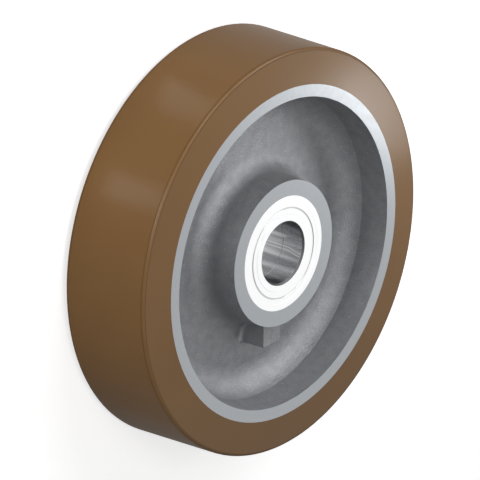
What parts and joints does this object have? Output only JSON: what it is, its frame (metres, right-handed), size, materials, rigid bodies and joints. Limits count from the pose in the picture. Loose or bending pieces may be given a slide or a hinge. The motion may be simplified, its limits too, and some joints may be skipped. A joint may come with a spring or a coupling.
{
  "type": "heavy-duty wheel",
  "caption": "Heavy-duty wheel: cast-iron centre with a dished web and a boss on the hub, bonded polyurethane tread, and ball bearings either side of a spacer tube.",
  "frame": {"origin": "the wheel's centre: on the spin axis, midway between the two side faces", "axes": "+Z along the spin axis towards the front face, the one with the cast boss; the boss points close to -Y"},
  "size_m": [0.3, 0.3, 0.08],
  "materials": {
    "cast_iron": "as cast, painted pale grey, with machined ring and hub faces",
    "polyurethane_tread": "satin brown cast polyurethane",
    "bearing_steel": "ground and polished",
    "shield_steel": "pressed bright sheet",
    "turned_steel": "turned",
    "ball_steel": "polished",
    "cage_steel": "pressed sheet"
  },
  "bodies": {
    "axle_side": {"spacer_tube": "turned_steel", "front_bearing_inner_ring": "bearing_steel", "back_bearing_inner_ring": "bearing_steel"},
    "wheel": {"wheel_centre": "cast_iron", "tread": "polyurethane_tread", "front_bearing_outer_ring": "bearing_steel", "front_bearing_outer_shield": "shield_steel", "front_bearing_inner_shield": "shield_steel", "back_bearing_outer_ring": "bearing_steel", "back_bearing_outer_shield": "shield_steel", "back_bearing_inner_shield": "shield_steel"},
    "front_ball_set": {"front_bearing_ball_1": "ball_steel", "front_bearing_ball_2": "ball_steel", "front_bearing_ball_3": "ball_steel", "front_bearing_ball_4": "ball_steel", "front_bearing_ball_5": "ball_steel", "front_bearing_ball_6": "ball_steel", "front_bearing_ball_7": "ball_steel", "front_bearing_ball_8": "ball_steel", "front_bearing_ball_9": "ball_steel", "front_bearing_cage_outer_half": "cage_steel", "front_bearing_cage_inner_half": "cage_steel", "front_bearing_cage_rivets": "cage_steel"},
    "back_ball_set": {"back_bearing_ball_1": "ball_steel", "back_bearing_ball_2": "ball_steel", "back_bearing_ball_3": "ball_steel", "back_bearing_ball_4": "ball_steel", "back_bearing_ball_5": "ball_steel", "back_bearing_ball_6": "ball_steel", "back_bearing_ball_7": "ball_steel", "back_bearing_ball_8": "ball_steel", "back_bearing_ball_9": "ball_steel", "back_bearing_cage_outer_half": "cage_steel", "back_bearing_cage_inner_half": "cage_steel", "back_bearing_cage_rivets": "cage_steel"}
  },
  "joints": [
    {"name": "wheel_spin", "type": "hinge", "parent": "axle_side", "child": "wheel", "pos_m": [0, 0, 0], "axis": [0, 0, 1], "continuous": true},
    {"name": "front_balls_roll", "type": "hinge", "parent": "axle_side", "child": "front_ball_set", "pos_m": [0, 0, 0.0305], "axis": [0, 0, 1], "continuous": true},
    {"name": "back_balls_roll", "type": "hinge", "parent": "axle_side", "child": "back_ball_set", "pos_m": [0, 0, -0.0305], "axis": [0, 0, 1], "continuous": true}
  ],
  "couplings": [
    {"joint": "front_balls_roll", "follows": "wheel_spin", "ratio": 0.59769},
    {"joint": "back_balls_roll", "follows": "wheel_spin", "ratio": 0.59769}
  ]
}
